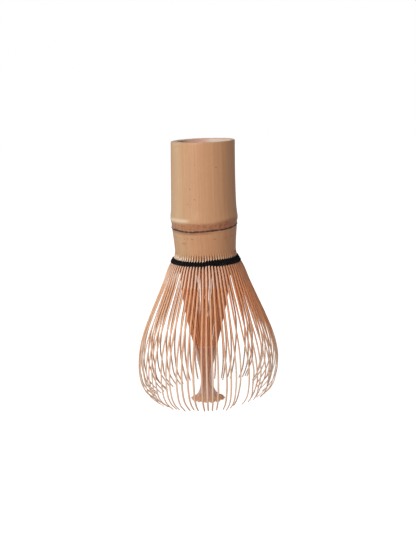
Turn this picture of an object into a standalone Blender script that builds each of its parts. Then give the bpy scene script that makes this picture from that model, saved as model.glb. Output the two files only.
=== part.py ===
"""A bamboo matcha whisk: a culm handle, two rings of split tines and the thread laced through them.

The whisk stands tines down with the floor at height 0 and its axis on Z, in metres.
The culm is one piece of bamboo. It is cut here into the handle and 24 fans of six tines,
each fan fused to its slice of the culm wall, so that every sliver keeps its own shape.
"""

import math
import random

import bmesh
import bpy
import numpy as np

# Heights above the floor
RIM_HEIGHT = 0.1125
RIDGE_HEIGHT = 0.0800
SCAR_HEIGHT = 0.0760
WAIST_HEIGHT = 0.0665
SEAM_HEIGHT = 0.0645
FLANK_HEIGHT = 0.0446
BELLY_HEIGHT = 0.0168
HOOK_HEIGHT = 0.0068
OUTER_TIP_HEIGHT = 0.0023
CONE_HEIGHT = 0.0420
SHAVE_HEIGHT = 0.0243
BUNDLE_WAIST_HEIGHT = 0.0088
FLARE_HEIGHT = 0.0036

# Handle
RIM_RADIUS = 0.0135
RIM_WALL = 0.0020
RIM_CHAMFER = 0.0003
SHANK_RADIUS = 0.0137
SHANK_DROP = 0.0190
RIDGE_RADIUS = 0.0143
RIDGE_SPREAD = 0.0045
SCAR_LIP = 0.0003
SCAR_WIDTH = 0.0006
SCAR_RADIUS = 0.01375
WAIST_RADIUS = 0.01305
SEAM_RADIUS = 0.0132
BORE_TAPER = 0.0003
BORE_OFFSET = 0.0008
SEPTUM_THICKNESS = 0.0018
SEPTUM_FILLET = 0.0015
CULM_LEAN = 0.0005

# Tines: the culm wall is parted into an outer and an inner ring, then slit into slivers
TINES_PER_RING = 72
FANS_PER_RING = 12
SLIT_WIDTH = 0.00034
SLICE_HEIGHT = 0.0008
SEAM_GAP = 0.0003
LAYER_GAP = 0.0003
CAGE_LEAN = 0.0006

# Outer ring, radii to the skin side
OUTER_LAYER = 0.00105
LACED_RADIUS = 0.0139
FLANK_RADIUS = 0.0220
BELLY_RADIUS = 0.0306
HOOK_RADIUS = 0.0284
OUTER_TIP_RADIUS = 0.0241
OUTER_BELLY_WIDTH = 0.00048
OUTER_BELLY_THICKNESS = 0.00038
OUTER_TIP_WIDTH = 0.00034
OUTER_TIP_THICKNESS = 0.00022
OUTER_TIP_SPREAD = 0.0008
OUTER_STRAY = 0.36

# Inner ring, gathered to a bundle whose ends flare like a trumpet
INNER_LAYER = 0.00115
CONE_RADIUS = 0.0091
SHAVE_RADIUS = 0.00515
BUNDLE_WAIST_RADIUS = 0.0023
FLARE_RADIUS = 0.0037
LIP_RADIUS = 0.0069
BUNDLE_GAP = 0.00005
BUNDLE_THICKNESS = 0.00030
LIP_WIDTH = 0.00036
LIP_THICKNESS = 0.00022
LIP_SPREAD = 0.0005
BUNDLE_BOW = 0.0007

# Lacing thread
LACING_DROP = 0.0023
THREAD_DIAMETER = 0.00085
THREAD_CLEARANCE = 0.00015
LACING_ROWS = 2
ROW_PITCH = 0.00115
WRAP_DIP = 0.00014
WRAP_SLANT = 0.00012
INNER_ROW_STEPS = 48
INNER_ROW_OPENING = math.radians(8)

# Facets
CULM_SIDES = 48
OUTER_STEPS = (1, 2, 3, 2, 1)
INNER_STEPS = (1, 1, 3, 2, 1)
SEED = 17

TINE_STEP = 2 * math.pi / TINES_PER_RING
TINES_PER_FAN = TINES_PER_RING // FANS_PER_RING
LACING_HEIGHT = SEAM_HEIGHT - LACING_DROP
SLICE_TOP = SEAM_HEIGHT - SEAM_GAP
SLICE_BASE = SLICE_TOP - SLICE_HEIGHT
INNER_SEAM_RADIUS = SEAM_RADIUS - OUTER_LAYER - LAYER_GAP
SEAM_BORE_RADIUS = INNER_SEAM_RADIUS - INNER_LAYER
THREAD_RADIUS = THREAD_DIAMETER / 2


def clear_scene():
    for obj in list(bpy.data.objects):
        bpy.data.objects.remove(obj, do_unlink=True)


def make_material(name, colour, roughness):
    material = bpy.data.materials.new(name)
    material.use_nodes = True
    shader = material.node_tree.nodes["Principled BSDF"]
    shader.inputs["Base Color"].default_value = (*colour, 1)
    shader.inputs["Roughness"].default_value = roughness
    shader.inputs["Metallic"].default_value = 0
    return material


def smooth_curve(points, span_steps):
    """A smooth curve through the points, with each span cut into its number of steps."""
    points = np.array(points, float)
    spans = np.linalg.norm(np.diff(points, axis=0), axis=1)
    slopes = np.diff(points, axis=0) / spans[:, None]
    tangents = np.empty_like(points)
    tangents[0] = slopes[0]
    tangents[-1] = slopes[-1]
    before, after = spans[:-1, None], spans[1:, None]
    tangents[1:-1] = (slopes[:-1] * after + slopes[1:] * before) / (before + after)
    curve = []
    for i, (span, steps) in enumerate(zip(spans, span_steps)):
        for k in range(steps):
            t = k / steps
            start = (1 + 2 * t) * (1 - t) ** 2 * points[i]
            end = t * t * (3 - 2 * t) * points[i + 1]
            leaving = t * (1 - t) ** 2 * span * tangents[i]
            arriving = t * t * (t - 1) * span * tangents[i + 1]
            curve.append(start + end + leaving + arriving)
    curve.append(points[-1])
    return np.array(curve)


def lean(height):
    """How far the axis strays along X: the culm grew a little crooked, and the cage leans the other way."""
    if height > SEAM_HEIGHT:
        return CULM_LEAN * (height - SEAM_HEIGHT) / (RIM_HEIGHT - SEAM_HEIGHT)
    return -CAGE_LEAN * (SEAM_HEIGHT - height) / SEAM_HEIGHT


def bow_at(height, depth):
    """How far tines that are bowed to this depth stray along X between their tips and the lacing."""
    return -depth * math.sin(math.pi * min(1, max(0, height / LACING_HEIGHT)))


def polar_point(radius, azimuth, height, sideways=0.0, shift=0.0):
    """A point at this azimuth round the leaning axis, moved along the tangent and shifted along X."""
    x = radius * math.cos(azimuth) - sideways * math.sin(azimuth)
    y = radius * math.sin(azimuth) + sideways * math.cos(azimuth)
    return (x + lean(height) + shift, y, height)


def add_object(name, mesh, material, parent):
    mesh.materials.append(material)
    mesh.shade_smooth()
    mesh.set_sharp_from_angle(angle=math.radians(35))
    obj = bpy.data.objects.new(name, mesh)
    bpy.context.scene.collection.objects.link(obj)
    obj.parent = parent
    return obj


def culm_outline():
    """The culm's skin from the seam up to the rim: waist, sheath scar, node ridge and shank."""
    below = smooth_curve(
        [
            (SEAM_RADIUS, SEAM_HEIGHT),
            (WAIST_RADIUS, WAIST_HEIGHT),
            (SCAR_RADIUS, SCAR_HEIGHT - SCAR_WIDTH),
        ],
        (2, 3),
    )
    scar = [
        (SCAR_RADIUS + SCAR_LIP, SCAR_HEIGHT - SCAR_WIDTH / 2),
        (SCAR_RADIUS + SCAR_LIP, SCAR_HEIGHT + SCAR_WIDTH / 2),
    ]
    above = smooth_curve(
        [
            (SCAR_RADIUS, SCAR_HEIGHT + SCAR_WIDTH),
            (RIDGE_RADIUS, RIDGE_HEIGHT),
            ((RIDGE_RADIUS + SHANK_RADIUS) / 2, RIDGE_HEIGHT + RIDGE_SPREAD / 2),
            (SHANK_RADIUS, RIDGE_HEIGHT + RIDGE_SPREAD * 1.3),
            (SHANK_RADIUS, RIM_HEIGHT - SHANK_DROP),
            (RIM_RADIUS, RIM_HEIGHT - RIM_CHAMFER),
        ],
        (3, 2, 2, 1, 1),
    )
    return [*below, *scar, *above, (RIM_RADIUS - RIM_CHAMFER, RIM_HEIGHT)]


def bore_outline():
    """From the rim down the open bore, across the septum that the node leaves, and down to the seam."""
    mouth = RIM_RADIUS - RIM_WALL
    floor = mouth - BORE_TAPER
    septum_top = RIDGE_HEIGHT
    septum_base = septum_top - SEPTUM_THICKNESS
    upper = [
        (mouth + RIM_CHAMFER, RIM_HEIGHT),
        (mouth, RIM_HEIGHT - RIM_CHAMFER),
        (floor, septum_top + SEPTUM_FILLET),
        (floor - SEPTUM_FILLET, septum_top),
        (0, septum_top),
    ]
    lower = [
        (0, septum_base),
        (SEAM_BORE_RADIUS - SEPTUM_FILLET, septum_base),
        (SEAM_BORE_RADIUS, septum_base - SEPTUM_FILLET),
        (SEAM_BORE_RADIUS, SEAM_HEIGHT),
    ]
    return upper, lower


def join_rings(mesh, first, second):
    """The faces between two rings of vertices, either of which may be a pole."""
    sides = max(len(first), len(second))
    for k in range(sides):
        j = (k + 1) % sides
        if len(second) == 1:
            mesh.faces.new((first[k], first[j], second[0]))
        elif len(first) == 1:
            mesh.faces.new((first[0], second[j], second[k]))
        else:
            mesh.faces.new((first[k], first[j], second[j], second[k]))


def spin_outline(mesh, outline, sides, shift=0.0):
    """Turns a run of (radius, height) pairs about the axis; a pair at radius 0 becomes a pole."""
    rings = []
    for radius, height in outline:
        count = sides if radius > 0 else 1
        azimuths = [2 * math.pi * k / count for k in range(count)]
        rings.append([mesh.verts.new(polar_point(radius, turn, height, shift=shift)) for turn in azimuths])
    for first, second in zip(rings, rings[1:]):
        join_rings(mesh, first, second)
    return rings


def make_handle(material, parent):
    """The culm above the slits: a tube with its bore off centre and the node's septum across it."""
    upper, lower = bore_outline()
    mesh = bmesh.new()
    skin = spin_outline(mesh, culm_outline(), CULM_SIDES)
    bore = spin_outline(mesh, upper, CULM_SIDES, BORE_OFFSET)
    underside = spin_outline(mesh, lower, CULM_SIDES)
    join_rings(mesh, skin[-1], bore[0])
    join_rings(mesh, underside[-1], skin[0])
    bmesh.ops.recalc_face_normals(mesh, faces=mesh.faces)
    data = bpy.data.meshes.new("handle")
    mesh.to_mesh(data)
    mesh.free()
    return add_object("handle", data, material, parent)


def outer_path():
    """The skin side of an outer tine from its root to its tip, as (radius, height) pairs."""
    return smooth_curve(
        [
            (SEAM_RADIUS, SLICE_BASE),
            (LACED_RADIUS, LACING_HEIGHT),
            (FLANK_RADIUS, FLANK_HEIGHT),
            (BELLY_RADIUS, BELLY_HEIGHT),
            (HOOK_RADIUS, HOOK_HEIGHT),
            (OUTER_TIP_RADIUS, OUTER_TIP_HEIGHT),
        ],
        OUTER_STEPS,
    )


def inner_path():
    """The outer side of an inner tine from its root to the lip of the bundle."""
    return smooth_curve(
        [
            (INNER_SEAM_RADIUS, SLICE_BASE),
            (CONE_RADIUS, CONE_HEIGHT),
            (SHAVE_RADIUS, SHAVE_HEIGHT),
            (BUNDLE_WAIST_RADIUS, BUNDLE_WAIST_HEIGHT),
            (FLARE_RADIUS, FLARE_HEIGHT),
            (LIP_RADIUS, LIP_SPREAD),
        ],
        INNER_STEPS,
    )


def travel(path):
    """How far along the path each point lies, from 0 at the root to 1 at the tip."""
    steps = np.linalg.norm(np.diff(path, axis=0), axis=1)
    return np.concatenate([[0], np.cumsum(steps)]) / steps.sum()


def side_normals(path):
    """Unit normals of the path in its radial plane, pointing away from the axis at the root."""
    tangents = np.gradient(path, axis=0)
    normals = np.stack([-tangents[:, 1], tangents[:, 0]], axis=1)
    normals[0] = (1, 0)
    return normals / np.linalg.norm(normals, axis=1)[:, None]


def pitch_at(radius):
    return TINE_STEP * radius


def outer_sections(path):
    """(width, thickness) along an outer tine: full at the slits, then shaved down to the tip."""
    root_width = pitch_at(SEAM_RADIUS - OUTER_LAYER) - SLIT_WIDTH
    places = [0, 0.72, 1]
    widths = np.interp(travel(path), places, [root_width, OUTER_BELLY_WIDTH, OUTER_TIP_WIDTH])
    thicknesses = np.interp(
        travel(path), places, [OUTER_LAYER, OUTER_BELLY_THICKNESS, OUTER_TIP_THICKNESS]
    )
    return np.stack([widths, thicknesses], axis=1)


def inner_sections(path):
    """(width, thickness) along an inner tine, never wider than its share of the bundle leaves free."""
    root_width = pitch_at(SEAM_BORE_RADIUS) - SLIT_WIDTH
    share = travel(path)
    neck = share[np.argmin(path[:, 0])]
    thicknesses = np.interp(share, [0, neck, 1], [INNER_LAYER, BUNDLE_THICKNESS, LIP_THICKNESS])
    widths = np.interp(share, [0, 1], [root_width, LIP_WIDTH])
    free = pitch_at(path[:, 0] - thicknesses) - BUNDLE_GAP
    return np.stack([np.minimum(widths, free), thicknesses], axis=1)


def tine_rings(mesh, ring, azimuth, drift, lift):
    """The four corners of each section of one tine. It drifts sideways and shortens towards its tip."""
    rings = []
    path, sections = ring["path"], ring["sections"]
    share = travel(path)
    normals = side_normals(path)
    for (radius, height), (width, thickness), s, normal in zip(path, sections, share, normals):
        turn = azimuth + drift * s * s
        height = height + lift * max(0, (s - 0.8) / 0.2)
        inside = (radius - thickness * normal[0], height - thickness * normal[1])
        if s == 1:
            inside = (radius - thickness, height)
        shift = bow_at(height, ring["bow"])
        corners = [
            polar_point(radius, turn, height, -width / 2, shift),
            polar_point(radius, turn, height, width / 2, shift),
            polar_point(inside[0], turn, inside[1], width / 2, shift),
            polar_point(inside[0], turn, inside[1], -width / 2, shift),
        ]
        rings.append([mesh.verts.new(corner) for corner in corners])
    return rings


def skin_rings(mesh, rings):
    for first, second in zip(rings, rings[1:]):
        for k in range(4):
            j = (k + 1) % 4
            mesh.faces.new((first[k], first[j], second[j], second[k]))
    mesh.faces.new(rings[-1])


def make_fan(name, ring, azimuths, drifts, lifts, material, parent):
    """Neighbouring tines, fused at their roots to one slice of the culm wall."""
    mesh = bmesh.new()
    width, thickness = ring["sections"][0]
    outer_radius = ring["path"][0][0]
    inner_radius = outer_radius - thickness
    columns = []
    for azimuth, drift, lift in zip(azimuths, drifts, lifts):
        rings = tine_rings(mesh, ring, azimuth, drift, lift)
        skin_rings(mesh, rings)
        root = rings[0]
        for side, outer, inner in ((-width / 2, root[0], root[3]), (width / 2, root[1], root[2])):
            top_outer = mesh.verts.new(polar_point(outer_radius, azimuth, SLICE_TOP, side))
            top_inner = mesh.verts.new(polar_point(inner_radius, azimuth, SLICE_TOP, side))
            columns.append((top_outer, top_inner, inner, outer))
    for index, (left, right) in enumerate(zip(columns, columns[1:])):
        mesh.faces.new((left[0], right[0], right[1], left[1]))
        mesh.faces.new((left[1], right[1], right[2], left[2]))
        mesh.faces.new((left[3], right[3], right[0], left[0]))
        if index % 2:
            mesh.faces.new((left[2], right[2], right[3], left[3]))
    mesh.faces.new(columns[0])
    mesh.faces.new(columns[-1])
    bmesh.ops.recalc_face_normals(mesh, faces=mesh.faces)
    data = bpy.data.meshes.new(name)
    mesh.to_mesh(data)
    mesh.free()
    return add_object(name, data, material, parent)


def make_ring(stem, ring, material, parent, draws):
    """All fans of one ring. In each fan the first tine is the longest, and the others end a little short."""
    tip_radius = ring["path"][-1][0]
    free = pitch_at(tip_radius) - ring["sections"][-1][0]
    for fan in range(FANS_PER_RING):
        azimuths = [TINE_STEP * (fan * TINES_PER_FAN + k) for k in range(TINES_PER_FAN)]
        drifts = [ring["stray"] * free / tip_radius * draws.uniform(-1, 1) for _ in azimuths]
        lifts = [ring["spread"] * draws.uniform(-1, 1) for _ in azimuths]
        lifts[0] = -ring["spread"]
        make_fan(f"{stem}_{fan + 1:02d}", ring, azimuths, drifts, lifts, material, parent)


def skin_radius(path, height):
    """The radius of a tine's outer side at this height above the floor."""
    return float(np.interp(-height, -path[:, 1], path[:, 0]))


def make_thread(name, points, material, parent):
    curve = bpy.data.curves.new(name, "CURVE")
    curve.dimensions = "3D"
    curve.bevel_depth = THREAD_RADIUS
    curve.bevel_resolution = 1
    curve.use_fill_caps = True
    spline = curve.splines.new("POLY")
    spline.points.add(len(points) - 1)
    for target, point in zip(spline.points, points):
        target.co = (*point, 1)
    curve.materials.append(material)
    obj = bpy.data.objects.new(name, curve)
    bpy.context.scene.collection.objects.link(obj)
    obj.parent = parent
    return obj


def least_gap(points, per_row):
    """The smallest gap between two rows of one winding, from thread surface to thread surface."""
    points = np.array(points)
    gaps = [
        np.linalg.norm(points[k + per_row // 2 :] - points[k], axis=1).min()
        for k in range(len(points) - per_row // 2)
    ]
    return min(gaps) - THREAD_DIAMETER


def outer_lacing_points(path):
    """Rows wound down the tines from the front: the thread swells over each tine and dips into each slit."""
    points = []
    per_row = 2 * TINES_PER_RING
    start = -math.pi / 2
    for k in range(per_row * LACING_ROWS - 1):
        over = k % 2 == 1
        azimuth = start + TINE_STEP / 2 * (k + 1)
        row = k / per_row - LACING_ROWS / 2
        height = LACING_HEIGHT - ROW_PITCH * row + (WRAP_SLANT if over else -WRAP_SLANT)
        radius = skin_radius(path, LACING_HEIGHT - ROW_PITCH * row) + THREAD_CLEARANCE + THREAD_RADIUS
        if not over:
            radius -= WRAP_DIP
        points.append(polar_point(radius, azimuth, height))
    return points


def inner_lacing_points(outer, inner):
    """One row between the two rings of tines, which holds them apart."""
    height = LACING_HEIGHT
    outside = skin_radius(outer, height) - OUTER_LAYER
    inside = skin_radius(inner, height)
    radius = (outside + inside) / 2
    sweep = 2 * math.pi - INNER_ROW_OPENING
    start = -math.pi / 2 + INNER_ROW_OPENING / 2
    return [
        polar_point(radius, start + sweep * k / INNER_ROW_STEPS, height) for k in range(INNER_ROW_STEPS + 1)
    ]


def make_whisk():
    clear_scene()
    skin = make_material("bamboo_skin", (0.61, 0.38, 0.19), 0.42)
    slivers = make_material("bamboo_slivers", (0.58, 0.30, 0.14), 0.55)
    cotton = make_material("black_thread", (0.012, 0.012, 0.014), 0.85)
    whisk = bpy.data.objects.new("whisk", None)
    bpy.context.scene.collection.objects.link(whisk)

    make_handle(skin, whisk)
    outer, inner = outer_path(), inner_path()
    draws = random.Random(SEED)
    cage = {
        "path": outer,
        "sections": outer_sections(outer),
        "stray": OUTER_STRAY,
        "spread": OUTER_TIP_SPREAD,
        "bow": 0,
    }
    make_ring("outer_tines", cage, slivers, whisk, draws)
    bundle = {
        "path": inner,
        "sections": inner_sections(inner),
        "stray": 0,
        "spread": LIP_SPREAD,
        "bow": BUNDLE_BOW,
    }
    make_ring("inner_tines", bundle, slivers, whisk, draws)

    rows = outer_lacing_points(outer)
    make_thread("lacing_outer", rows, cotton, whisk)
    make_thread("lacing_inner", inner_lacing_points(outer, inner), cotton, whisk)
    print(f"least gap of the lacing to itself: {least_gap(rows, 2 * TINES_PER_RING) * 1000:.2f} mm")


make_whisk()
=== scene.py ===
import math
import bmesh
import bpy
from mathutils import Matrix, Vector, noise


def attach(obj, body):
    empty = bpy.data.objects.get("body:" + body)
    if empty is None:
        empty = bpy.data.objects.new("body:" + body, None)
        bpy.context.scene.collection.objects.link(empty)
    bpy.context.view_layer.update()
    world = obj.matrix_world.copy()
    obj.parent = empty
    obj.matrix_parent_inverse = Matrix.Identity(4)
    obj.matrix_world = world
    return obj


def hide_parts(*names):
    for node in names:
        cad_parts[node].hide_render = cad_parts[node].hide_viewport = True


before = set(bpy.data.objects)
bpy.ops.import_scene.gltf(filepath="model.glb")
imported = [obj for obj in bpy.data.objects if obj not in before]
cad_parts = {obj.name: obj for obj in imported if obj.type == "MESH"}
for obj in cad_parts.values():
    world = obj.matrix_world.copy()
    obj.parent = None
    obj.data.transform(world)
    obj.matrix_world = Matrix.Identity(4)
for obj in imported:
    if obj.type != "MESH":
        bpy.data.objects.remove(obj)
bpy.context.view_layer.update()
print("frame loaded:", len(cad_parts), "nodes")

mm = 0.001
fullTurn = 2 * math.pi


# Helpers for node trees

def feed(tree, slot, value):
    if isinstance(value, Field):
        value = value.socket
    if isinstance(value, bpy.types.NodeSocket):
        tree.links.new(value, slot)
    else:
        slot.default_value = value


class Field:
    # a number in a node tree, so that sums read the plain way
    def __init__(self, tree, socket):
        self.tree = tree
        self.socket = socket

    def calc(self, operation, *others):
        made = self.tree.nodes.new("ShaderNodeMath")
        made.operation = operation
        for slot, value in zip(made.inputs, (self, *others)):
            feed(self.tree, slot, value)
        return Field(self.tree, made.outputs[0])

    def __add__(self, other):
        return self.calc("ADD", other)

    def __radd__(self, other):
        return self.calc("ADD", other)

    def __sub__(self, other):
        return self.calc("SUBTRACT", other)

    def __rsub__(self, other):
        return self.calc("MULTIPLY_ADD", -1.0, other)

    def __mul__(self, other):
        return self.calc("MULTIPLY", other)

    def __truediv__(self, other):
        return self.calc("DIVIDE", other)

    def sin(self):
        return self.calc("SINE")

    def cos(self):
        return self.calc("COSINE")

    def ease(self, low, high, start=0.0, end=1.0):
        # start below low, end above high, and a smooth step between
        made = self.tree.nodes.new("ShaderNodeMapRange")
        made.interpolation_type = "SMOOTHSTEP"
        for slot, value in zip(made.inputs, (self, low, high, start, end)):
            feed(self.tree, slot, value)
        return Field(self.tree, made.outputs[0])

    def between(self, low, full, fade, high):
        # 1 between full and fade, 0 below low and above high
        return self.ease(low, full) * self.ease(fade, high, 1.0, 0.0)

    def curve(self, points):
        # points are (place, value) pairs, both from 0 to 1
        made = self.tree.nodes.new("ShaderNodeFloatCurve")
        handles = made.mapping.curves[0].points
        while len(handles) < len(points):
            handles.new(0.5, 0.5)
        for handle, point in zip(handles, points):
            handle.location = point
        made.mapping.update()
        feed(self.tree, made.inputs["Value"], self)
        return Field(self.tree, made.outputs[0])


def inMetres(marks):
    # marks are written in millimetres, and node trees read metres
    return {name: tuple(value * mm for value in values) for name, values in marks.items()}


def addNode(tree, kind, inputs=None, **settings):
    made = tree.nodes.new(kind)
    for name, value in settings.items():
        setattr(made, name, value)
    for name, value in (inputs or {}).items():
        feed(tree, made.inputs[name], value)
    return made


def splitAxes(tree, vector):
    made = addNode(tree, "ShaderNodeSeparateXYZ", {0: vector})
    return [Field(tree, socket) for socket in made.outputs]


def joinAxes(tree, x, y, z):
    return addNode(tree, "ShaderNodeCombineXYZ", {0: x, 1: y, 2: z}).outputs[0]


# Helpers for geometry trees

def newTree(name, inputs):
    # inputs lists the labels for each kind of socket; a number that a piece leaves out is nought
    tree = bpy.data.node_groups.new(name, "GeometryNodeTree")
    for kind, labels in inputs.items():
        for label in labels:
            tree.interface.new_socket(name=label, in_out="INPUT", socket_type="NodeSocket" + kind)
    tree.interface.new_socket(name="Geometry", in_out="OUTPUT", socket_type="NodeSocketGeometry")
    entry = tree.nodes.new("NodeGroupInput")
    return tree, {label: Field(tree, entry.outputs[label]) for labels in inputs.values() for label in labels}


def randomField(tree, seed, low=-1.0, high=1.0):
    made = addNode(tree, "FunctionNodeRandomValue", data_type="FLOAT")
    feed(tree, made.inputs[2], low)
    feed(tree, made.inputs[3], high)
    feed(tree, made.inputs["Seed"], seed)
    return Field(tree, made.outputs[1])


def storeField(tree, geometry, name, value, domain="POINT"):
    made = addNode(
        tree,
        "GeometryNodeStoreNamedAttribute",
        {"Geometry": geometry, "Name": name},
        data_type="FLOAT",
        domain=domain,
    )
    feed(tree, made.inputs["Value"], value)
    return made.outputs["Geometry"]


def namedField(tree, name):
    made = addNode(tree, "GeometryNodeInputNamedAttribute", {"Name": name}, data_type="FLOAT")
    return Field(tree, made.outputs["Attribute"])


def endTree(tree, geometry, material):
    # every tree ends the same way: plain geometry, smooth faces, one material
    real = addNode(tree, "GeometryNodeRealizeInstances", {"Geometry": geometry})
    smooth = addNode(tree, "GeometryNodeSetShadeSmooth", {"Geometry": real.outputs[0]})
    dressed = addNode(tree, "GeometryNodeSetMaterial", {"Geometry": smooth.outputs[0], "Material": material})
    result = tree.nodes.new("NodeGroupOutput")
    tree.links.new(dressed.outputs[0], result.inputs["Geometry"])


def growPiece(name, tree, values):
    # runs the tree once on an empty mesh and keeps the result as a plain mesh at the origin
    host = bpy.data.objects.new(name + "Host", bpy.data.meshes.new(name + "Host"))
    bpy.context.scene.collection.objects.link(host)
    modifier = host.modifiers.new("Nodes", "NODES")
    modifier.node_group = tree
    for item in tree.interface.items_tree:
        if item.item_type == "SOCKET" and item.in_out == "INPUT" and item.name in values:
            modifier[item.identifier] = values[item.name]
    graph = bpy.context.evaluated_depsgraph_get()
    mesh = bpy.data.meshes.new_from_object(host.evaluated_get(graph), depsgraph=graph)
    host.modifiers.remove(modifier)
    bpy.data.objects.remove(host)
    mesh.name = name
    piece = bpy.data.objects.new(name, mesh)
    bpy.context.scene.collection.objects.link(piece)
    print(name, "has", len(mesh.vertices), "points and", len(mesh.polygons), "faces")
    return piece


def drawProfile(name, points):
    # a smooth line through (radius, height) pairs, kept out of the render, for a tree to follow
    data = bpy.data.curves.new(name, "CURVE")
    data.dimensions = "3D"
    data.resolution_u = 24
    spline = data.splines.new("BEZIER")
    spline.bezier_points.add(len(points) - 1)
    for knot, (radius, height) in zip(spline.bezier_points, points):
        knot.co = (radius * mm, 0, height * mm)
        knot.handle_left_type = "AUTO"
        knot.handle_right_type = "AUTO"
    line = bpy.data.objects.new(name, data)
    bpy.context.scene.collection.objects.link(line)
    line.hide_render = True
    return line


# Helpers for materials

def newMaterial(name, **settings):
    material = bpy.data.materials.new(name)
    material.use_nodes = True
    shader = material.node_tree.nodes["Principled BSDF"]
    for label, value in settings.items():
        shader.inputs[label.replace("_", " ")].default_value = value
    return material, material.node_tree, shader


def objectAxes(tree):
    made = addNode(tree, "ShaderNodeTexCoord")
    return made.outputs["Object"]


def grain(tree, place, scale, detail=2):
    # noise that is stretched by its scale along each axis
    stretched = addNode(tree, "ShaderNodeMapping", {"Vector": place, "Scale": scale})
    made = addNode(
        tree, "ShaderNodeTexNoise", {"Vector": stretched.outputs[0], "Scale": 1.0, "Detail": detail}
    )
    return Field(tree, made.outputs[0])


def blend(tree, share, first, second, mode="MIX"):
    made = tree.nodes.new("ShaderNodeMix")
    made.data_type = "RGBA"
    made.blend_type = mode
    for index, value in ((0, share), (6, first), (7, second)):
        if isinstance(value, tuple) and len(value) == 3:
            value = (*value, 1)
        feed(tree, made.inputs[index], value)
    return made.outputs[2]


def attributeField(tree, name):
    made = addNode(tree, "ShaderNodeAttribute", attribute_name=name)
    return Field(tree, made.outputs["Fac"])


def addBump(tree, shader, height, distance, strength):
    made = addNode(tree, "ShaderNodeBump", {"Height": height, "Distance": distance, "Strength": strength})
    tree.links.new(made.outputs[0], shader.inputs["Normal"])


# Bamboo skin of the culm

culmPaint = {
    "skin": (0.545, 0.275, 0.138),
    # painted light on the left side and painted shade on the right
    "paleLitSide": (0.54, 0.375, 0.215),
    "paintedShadeSide": (0.50, 0.235, 0.112),
    "streak": (0.44, 0.205, 0.094),
    "fibre": (0.65, 0.38, 0.215),
    "blotch": (0.48, 0.235, 0.12),
    "ruddyBand": (0.73, 0.55, 0.48),
    "underScar": (0.70, 0.60, 0.58),
    # painted highlight on the node's ridge
    "crest": (0.80, 0.66, 0.50),
    "scar": (0.05, 0.026, 0.017),
    "speck": (0.10, 0.05, 0.03),
    "bruise": (0.36, 0.12, 0.06),
    "blot": (0.20, 0.07, 0.04),
    "sawnWood": (0.86, 0.64, 0.50),
    "sawnPores": (0.62, 0.36, 0.23),
    "litBoreWood": (0.76, 0.64, 0.55),
    "borePink": (0.80, 0.48, 0.38),
    "boreShade": (0.50, 0.29, 0.19),
    "waistShade": (0.95, 0.90, 0.86),
    "fibreScale": (1500, 1500, 14),
    "streakScale": (330, 330, 5),
    "poreScale": (2400, 2400, 500),
    "mottleScale": (90, 90, 60),
    "blotchScale": (700, 700, 1100),
    "dotScale": (900, 900, 1400),
    "rareScale": (200, 200, 200),
    "brokenScale": (700, 700, 700),
    "speckScale": 420,
}

# ranges over which a tone changes, across the photographed side and up the culm
culmMarks = inMetres({
    "paleLitSide": (-14.6, -1.0),
    "paintedShadeSide": (2.0, 14.0),
    "splitBrim": (65.0, 65.8),
    "waist": (75.2, 76.4),
    "ruddyTop": (78.5, 79.6),
    "grooveShade": (78.0, 78.7, 78.7, 79.6),
    "crest": (79.4, 80.2, 80.4, 81.6),
    "crestLitSide": (-9.0, -5.0),
    "ridgeDrop": (1.0, 12.0),
    "underScarSide": (-1.0, 6.0),
    "bruiseFront": (-3.0, 0.0),  # from the front to the rear
    "boreShadeSide": (-9.0, -6.0),
    "boreLitSide": (0.0, 5.0),
    "dotRow": (72.5, 0.2, 0.6),  # height, then half its width in full and faded
    "bruise": (-8.8, 70.4, 1.1, 0.4),  # x and height, then half its width and height
    # distances above the scar
    "underScar": (-1.9, -0.8, -0.1, 0.1),
    "overScar": (0.1, 0.5),
    "scarLine": (0.14, 0.36),
})


def paintSkin(tree, place):
    # satin skin with upright fibres, yellower on the left, partly of itself and partly with painted light,
    # and darker on the right with painted shade; the tines' roots share it
    x, y, z = splitAxes(tree, place)
    fibres = grain(tree, place, culmPaint["fibreScale"], detail=3)
    streaks = grain(tree, place, culmPaint["streakScale"], detail=2)
    mottle = grain(tree, place, culmPaint["mottleScale"], detail=3)
    # paler with painted light on the left, darker with painted shade on the right
    paleLit = x.ease(*culmMarks["paleLitSide"], 1.0, 0.0)
    colour = blend(tree, paleLit, culmPaint["skin"], culmPaint["paleLitSide"])
    colour = blend(tree, x.ease(*culmMarks["paintedShadeSide"]), colour, culmPaint["paintedShadeSide"])
    colour = blend(tree, streaks.ease(0.35, 0.7, 0.0, 0.26), colour, culmPaint["streak"])
    colour = blend(tree, fibres.ease(0.35, 0.7, 0.0, 0.3), colour, culmPaint["fibre"])
    pores = grain(tree, place, culmPaint["poreScale"], detail=2)
    colour = blend(tree, pores.ease(0.5, 0.75, 0.0, 0.25), colour, culmPaint["streak"])
    colour = blend(tree, mottle.ease(0.4, 0.8, 0.0, 0.2), colour, culmPaint["blotch"])
    # painted shade: the waist, below the scar, is a little darker
    waist = z.ease(*culmMarks["waist"], 1.0, 0.0)
    colour = blend(tree, waist, colour, culmPaint["waistShade"], "MULTIPLY")
    return colour, fibres, streaks, mottle


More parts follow.
